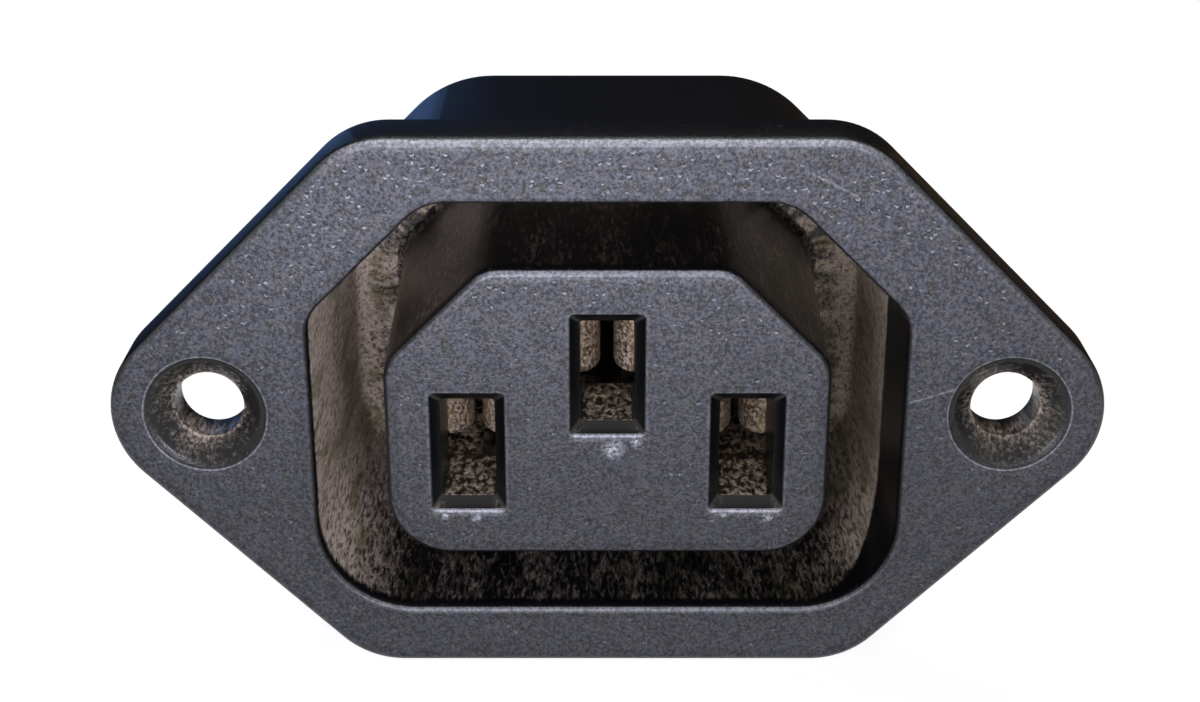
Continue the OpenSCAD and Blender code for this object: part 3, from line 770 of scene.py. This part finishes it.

# %% [markdown]
# The grain is two noises. A real spark-eroded grain is about 0.05 mm across, which would not show
# from here, so the fine noise is drawn three times coarser. It darkens and lightens the face and also
# raises it, so that the light breaks up on it. The coarser noise turns blue-grey to a warmer grey.
# A nick is a tiny pale crescent, partly wear and partly a painted glint. Each Voronoi cell holds one
# disc, and the same disc moved up is taken away from it, which leaves the disc's lower edge, painted
# pale as the side that light from above would catch. Nicks crowd together in places, and towards the
# top there are more of them and they are paler, which is painted light as well.

# %% Grain, painted light by height, and nicks with painted glints
GRAIN_MM, TINT_MM, NICK_MM, GLINT_SHIFT, WOBBLE_MM, CROWD_MM = 0.16, 0.45, 0.42, 0.08, 0.35, 3
BLUE_GREY, WARM_GREY, NICK_GLINT_GREY = "#353841", "#3c3a3c", "#afb4bc"
DARK_GRAIN, PALE_GRAIN, PAINTED_SHADE_LOW, PAINTED_LIGHT_HIGH = 0.1, 2.3, 0.62, 1.28  # times the grey; the last two are painted shade at the bottom and painted light at the top
FEW_Z, MANY_Z, FEW, MANY = 3, 11, 0.25, 1.5  # mm between which the nicks, with their painted glints, grow from few to many upwards
NICK_SMALL, NICK_LARGE, NICK_RIM = 0.2, 0.38, 0.1  # shares of a cell
specks = add(tree, "TexNoise", Vector=mm, Scale=1 / TINT_MM, Detail=3, Roughness=0.6)
grain = add(tree, "TexNoise", Vector=mm, Scale=1 / GRAIN_MM, Detail=3, Roughness=0.7)
mottle = add(tree, "MapRange", SMOOTH, Value=grain, _1=0.32, _2=0.7)
tint = add(tree, "Mix", RGBA, _0=add(tree, "MapRange", SMOOTH, Value=specks, _1=0.3, _2=0.7),
           _6=linear(BLUE_GREY), _7=linear(WARM_GREY))
shade = add(tree, "MapRange", Value=mottle, _3=DARK_GRAIN, _4=PALE_GRAIN)
# Painted light: the grey is darkened towards the bottom and lightened towards the top.
painted_light_by_height = add(tree, "MapRange", Value=high, _3=PAINTED_SHADE_LOW, _4=PAINTED_LIGHT_HIGH)
shade = add(tree, "Math", TIMES, _0=shade, _1=painted_light_by_height)
face_colour = add(tree, "Mix", {"data_type": "RGBA", "blend_type": "MULTIPLY"}, _0=1.0, _6=tint, _7=shade)
wobble = add(tree, "TexNoise", Vector=mm, Scale=1 / WOBBLE_MM).node.outputs["Color"]
bent = add(tree, "VectorMath", TIMES_PLUS, _0=wobble, _1=(WOBBLE_MM,) * 3, _2=mm)
# The disc moved up and taken away leaves a crescent on its lower edge, a painted glint.
moved = add(tree, "VectorMath", PLUS, _0=bent, _1=(0, 0, -GLINT_SHIFT))
crowd = add(tree, "TexNoise", Vector=mm, Scale=1 / CROWD_MM)
crowd = add(tree, "MapRange", SMOOTH, Value=crowd, _1=0.35, _2=0.62)
# More nicks, and so more painted glints, towards the top.
more_nicks_and_glints_higher = add(tree, "MapRange", Value=height, _1=FEW_Z, _2=MANY_Z, _3=FEW, _4=MANY)
crowd = add(tree, "Math", TIMES, _0=crowd, _1=more_nicks_and_glints_higher)
discs = []
for place in (bent, moved):
    cell = add(tree, "TexVoronoi", Vector=place, Scale=1 / NICK_MM).node.outputs
    chance = add(tree, "SeparateColor", _0=cell["Color"])
    present = add(tree, "Math", {"operation": "LESS_THAN"}, _0=chance, _1=crowd)
    reach = add(tree, "MapRange", Value=chance.node.outputs[1], _3=NICK_SMALL, _4=NICK_LARGE)
    full_reach = add(tree, "Math", LESS, _0=reach, _1=NICK_RIM)
    disc = add(tree, "MapRange", SMOOTH, Value=cell["Distance"], _1=full_reach, _2=reach, _3=1, _4=0)
    discs.append(add(tree, "Math", TIMES, _0=disc, _1=present))
nick_glint = add(tree, "Math", {"operation": "SUBTRACT", "use_clamp": True}, _0=discs[0], _1=discs[1])
nick_glint = add(tree, "Math", TIMES, _0=nick_glint, _1=rough_face)
# The crescents are painted paler towards the top, a painted glint by height.
pale = add(tree, "Math", TIMES, _0=nick_glint, _1=add(tree, "MapRange", Value=high, _3=0.2, _4=0.8))
face_colour = add(tree, "Mix", RGBA, _0=pale, _6=face_colour, _7=linear(NICK_GLINT_GREY))
colour = add(tree, "Mix", RGBA, _0=on_face, _6=linear(CLEAN_BLACK), _7=face_colour)
print("grain", GRAIN_MM, "mm, one nick or none per", NICK_MM, "mm")

# %% [markdown]
# Wear shows as pale plastic where the skin has gone: in broken lines along the upward-facing edges,
# where the pale line is also a painted highlight, in small chips below the slots, and in two scratches
# on the flange. A chip is a soft ball round its place, broken up by the grain. A scratch is a thin band
# round a line between two places.

# %% Worn edges with painted highlights, chips and scratches
CHIPS = ((0.3, -1.9, 0.75), (-6.6, -5.75, 0.4), (-8.2, -5.6, 0.3),
         (8.1, -5.75, 0.35), (5.9, -5.6, 0.25), (1.4, -1.5, 0.4))  # x, z, reach in mm
SCRATCHES = ((14.6, 0.5, 17.6, 1.5), (9.5, 12.6, 11.9, 11.4))  # x and z of both ends in mm
DRIFT = 0.17  # mm that the wobble moves a place on average
CUT_CORE, CUT_EDGE, CUT_WEAR = 0.02, 0.08, 0.3  # a scratch's half widths in mm, and how pale it is
# Bare pale plastic, used for the wear and for the painted highlight along the edges.
SCRAPED_AND_LIT_GREY, PALEST_MARK = "#bbbdc4", 0.8
grain_breakup = add(tree, "MapRange", SMOOTH, Value=grain, _1=0.4, _2=0.6, _3=0.45, _4=1)
wear_and_highlight = add(tree, "Math", TIMES, _0=worn_and_lit, _1=grain_breakup)
for x, z, reach in CHIPS:
    near = add(tree, "VectorMath", DISTANCE, _0=bent, _1=(x + DRIFT, front_y + DRIFT, z + DRIFT))
    near = near.node.outputs["Value"]
    chip = add(tree, "MapRange", SMOOTH, Value=near, _1=reach * 0.2, _2=reach, _3=1, _4=0)
    wear_and_highlight = add(tree, "Math", MOST, _0=wear_and_highlight, _1=add(tree, "Math", TIMES, _0=chip, _1=mottle))
for x0, z0, x1, z1 in SCRATCHES:
    way = Vector((x1 - x0, 0, z1 - z0))
    start = add(tree, "VectorMath", {"operation": "SUBTRACT"}, _0=mm, _1=(x0, front_y, z0))
    along = add(tree, "VectorMath", {"operation": "DOT_PRODUCT"}, _0=start, _1=way / way.length_squared)
    held = add(tree, "Math", {"operation": "ADD", "use_clamp": True}, _0=along.node.outputs["Value"], _1=0)
    nearest = add(tree, "VectorMath", {"operation": "SCALE"}, _0=way, Scale=held)
    off = add(tree, "VectorMath", DISTANCE, _0=start, _1=nearest).node.outputs["Value"]
    scratch = add(tree, "MapRange", SMOOTH, Value=off, _1=CUT_CORE, _2=CUT_EDGE, _3=CUT_WEAR, _4=0)
    wear_and_highlight = add(tree, "Math", MOST, _0=wear_and_highlight, _1=add(tree, "Math", TIMES, _0=scratch, _1=grain_breakup))
wear_and_highlight = add(tree, "Math", TIMES, _0=wear_and_highlight, _1=PALEST_MARK)
colour = add(tree, "Mix", RGBA, _0=wear_and_highlight, _6=colour, _7=linear(SCRAPED_AND_LIT_GREY))
print("chips", len(CHIPS), "scratches", len(SCRATCHES))

# %% [markdown]
# Dust in the channel has been drawn in by the plug, so its pattern is longer along the depth than
# across it. It is paler and pinker on the left, with olive patches here and there, and its specks
# are drawn coarser than real dust so that they show. Grit in the slots is coarser still, and lies in
# crumbs; the noise that raises them also paints their tops pale, a painted highlight, and the gaps
# between them dark, a painted shade.

# %% Dust and grit
DUST_MM, PATCH_MM, OLIVE_MM, CRUMB_MM = 0.2, 2.2, 1.5, 0.32
DUST_STRETCH, GRIT_STRETCH = 0.24, 0.5  # how much the depth counts in the patterns
SIDE_X = 5  # mm from the middle to where each side has its own dust
PINK_DUST, TAN_DUST, OLIVE_DUST, DARK_DUST = "#e1cebf", "#d6c5b1", "#9e9473", "#75695b"
LIT_CRUMB_TAN, SHADED_GAP_BROWN = "#d4c0a6", "#221a15"
BY_PAINT, BY_POWDER, BY_PATCH = 0.65, 0.85, 0.5  # weights in the sum that says where dust lies
DUST_FROM, DUST_FULL = 0.82, 1.28  # sums
drawn = add(tree, "VectorMath", TIMES, _0=mm, _1=(1, DUST_STRETCH, 1))
powder = add(tree, "TexNoise", Vector=drawn, Scale=1 / DUST_MM, Detail=3, Roughness=0.7, Distortion=0.4)
patchy = add(tree, "TexNoise", Vector=drawn, Scale=1 / PATCH_MM, Detail=3, Roughness=0.6)
side = add(tree, "MapRange", SMOOTH, Value=across, _1=-SIDE_X, _2=SIDE_X)
dust_colour = add(tree, "Mix", RGBA, _0=side, _6=linear(PINK_DUST), _7=linear(TAN_DUST))
olive = add(tree, "TexNoise", Vector=drawn, Scale=1 / OLIVE_MM)
olive = add(tree, "MapRange", SMOOTH, Value=olive, _1=0.48, _2=0.68)
dust_colour = add(tree, "Mix", RGBA, _0=olive, _6=dust_colour, _7=linear(OLIVE_DUST))
dust_colour = add(tree, "Mix", RGBA, _0=add(tree, "MapRange", SMOOTH, Value=powder, _1=0.3, _2=0.6),
                  _6=linear(DARK_DUST), _7=dust_colour)
amount = add(tree, "Math", TIMES, _0=dusty, _1=BY_PAINT)
amount = add(tree, "Math", TIMES_PLUS, _0=powder, _1=BY_POWDER, _2=amount)
amount = add(tree, "Math", TIMES_PLUS, _0=patchy, _1=BY_PATCH, _2=amount)
dust = add(tree, "MapRange", SMOOTH, Value=amount, _1=DUST_FROM, _2=DUST_FULL)
dust = add(tree, "Math", TIMES, _0=dust, _1=add(tree, "MapRange", Value=dusty, _1=0.3, _2=0.9, _3=0.35, _4=1))
colour = add(tree, "Mix", RGBA, _0=dust, _6=colour, _7=dust_colour)
strewn = add(tree, "VectorMath", TIMES, _0=mm, _1=(1, GRIT_STRETCH, 1))
crumbs = add(tree, "TexNoise", Vector=strewn, Scale=1 / CRUMB_MM, Detail=4, Roughness=0.65, Distortion=0.5)
# Grit colour with painted light: pale on the raised crumbs, a painted highlight, dark in the gaps, a painted
# shade.
grit_colour_and_shading = add(tree, "Mix", RGBA, _0=add(tree, "MapRange", SMOOTH, Value=crumbs, _1=0.42, _2=0.66),
                  _6=linear(SHADED_GAP_BROWN), _7=linear(LIT_CRUMB_TAN))
colour = add(tree, "Mix", RGBA, _0=gritty, _6=colour, _7=grit_colour_and_shading)
soil = add(tree, "Math", MOST, _0=dust, _1=gritty)
print("dust", DUST_MM, "mm, crumbs", CRUMB_MM, "mm")

# %% [markdown]
# The relief and the gloss follow the same masks. The clean walls are smooth enough to mirror the
# dark end of the studio, while the grain and the soil spread what they mirror, the pale specks of
# the grain a little less than the dark ones. The relief adds up four layers, each a pattern inside a
# mask: the grain, the nicks sunk into it, the lumps of dust, and the crumbs of grit.

# %% Relief and surface
CLEAN_ROUGHNESS, DULL_ROUGHNESS, SPECK_GLOSS = 0.28, 0.45, 0.16
PLASTIC_IOR, MIRROR_LEVEL = 1.5, 0.33
dull = add(tree, "Math", MOST, _0=on_face, _1=soil)
roughness = add(tree, "MapRange", Value=dull, _3=CLEAN_ROUGHNESS, _4=DULL_ROUGHNESS)
gloss = add(tree, "Math", TIMES, _0=mottle, _1=SPECK_GLOSS)
gloss = add(tree, "Math", TIMES, _0=on_face, _1=gloss)
roughness = add(tree, "Math", LESS, _0=roughness, _1=gloss)
layers = ((grain, rough_face, 0.06), (discs[0], rough_face, -0.04),
          (powder, dust, 0.08), (crumbs, gritty, 0.3))  # pattern, mask, rise in mm
relief = 0.0
for pattern, mask, rise_mm in layers:
    layer = add(tree, "Math", TIMES, _0=mask, _1=rise_mm)
    layer = add(tree, "Math", TIMES, _0=pattern, _1=layer)
    relief = add(tree, "Math", PLUS, _0=relief, _1=layer)
bump = add(tree, "Bump", Strength=1.0, Distance=MM, Height=relief)
surface = add(tree, "BsdfPrincipled", Base_Color=colour, Roughness=roughness, Normal=bump,
              IOR=PLASTIC_IOR, Specular_IOR_Level=MIRROR_LEVEL)
add(tree, "OutputMaterial", Surface=surface)
housing.data.materials.append(moulding)
print("the moulding has", len(tree.nodes), "nodes")

# %% [markdown]
# ## The rear cover and the brass
# The cover is moulded as a flat sheet with a matt finish, so it is duller than the housing's walls.
# The contacts are brass strip: bright when it was stamped, now brown with tarnish, and crusted with
# pale scale at the lips, where damp air reaches them.

# %% Matt cover and tarnished brass
SHEET_GRAIN_MM, TARNISH_MM, CRUST_MM = 0.4, 0.8, 0.2
SHEET_RISE, CRUST_RISE = 0.03, 0.1  # mm
SCALED_Y, BARE_Y = 9, 14  # mm between which the scale at the lips gives way to bare metal
SHEET_BLACK, SHEET_GREY = "#17181b", "#2a2b2f"
BRASS, TARNISH, DARK_SCALE, PALE_SCALE = "#ba995b", "#6e5c43", "#5e5043", "#cfbba5"
sheet_black, tree = blank_material("matt_black_moulded_sheet")
grain = add(tree, "TexNoise", Vector=in_mm(tree), Scale=1 / SHEET_GRAIN_MM, Detail=3)
colour = add(tree, "Mix", RGBA, _0=grain, _6=linear(SHEET_BLACK), _7=linear(SHEET_GREY))
bump = add(tree, "Bump", Strength=0.6, Distance=MM, Height=add(tree, "Math", TIMES, _0=grain, _1=SHEET_RISE))
surface = add(tree, "BsdfPrincipled", Base_Color=colour, Roughness=0.6, Normal=bump)
add(tree, "OutputMaterial", Surface=surface)
cover.data.materials.append(sheet_black)

brass, tree = blank_material("tarnished_brass_strip")
mm = in_mm(tree)
depth = add(tree, "SeparateXYZ", _0=mm).node.outputs[1]
tarnish = add(tree, "TexNoise", Vector=mm, Scale=1 / TARNISH_MM, Detail=4, Roughness=0.6)
crust = add(tree, "TexNoise", Vector=mm, Scale=1 / CRUST_MM, Detail=4, Roughness=0.65)
tarnished = add(tree, "MapRange", SMOOTH, Value=tarnish, _1=0.35, _2=0.65)
metal_colour = add(tree, "Mix", RGBA, _0=tarnished, _6=linear(BRASS), _7=linear(TARNISH))
metal = add(tree, "BsdfPrincipled", Base_Color=metal_colour, Metallic=1.0, Roughness=0.4)
pale = add(tree, "MapRange", SMOOTH, Value=crust, _1=0.36, _2=0.6)
scale_colour = add(tree, "Mix", RGBA, _0=pale, _6=linear(DARK_SCALE), _7=linear(PALE_SCALE))
bump = add(tree, "Bump", Distance=MM, Height=add(tree, "Math", TIMES, _0=crust, _1=CRUST_RISE))
scale = add(tree, "BsdfPrincipled", Base_Color=scale_colour, Roughness=0.7, Normal=bump)
near_lips = add(tree, "MapRange", SMOOTH, Value=depth, _1=SCALED_Y, _2=BARE_Y, _3=1, _4=0)
patches_of_crust = add(tree, "MapRange", SMOOTH, Value=crust, _1=0.36, _2=0.66, _3=0.2)
crusted = add(tree, "Math", TIMES, _0=near_lips, _1=patches_of_crust)
add(tree, "OutputMaterial", Surface=add(tree, "MixShader", _0=crusted, _1=metal, _2=scale))
for piece in contacts.values():
    piece.data.materials.append(brass)
print("materials:", [material.name for material in bpy.data.materials])

# %% [markdown]
# ## Finish
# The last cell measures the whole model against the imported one, since no piece may grow past it.

# %% Finish
model_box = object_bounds()
grown = [m - c for model, cad in zip(model_box, cad_box) for m, c in zip(model, cad)]
print("grown by", [round(g / MM, 3) for g in grown], "mm")
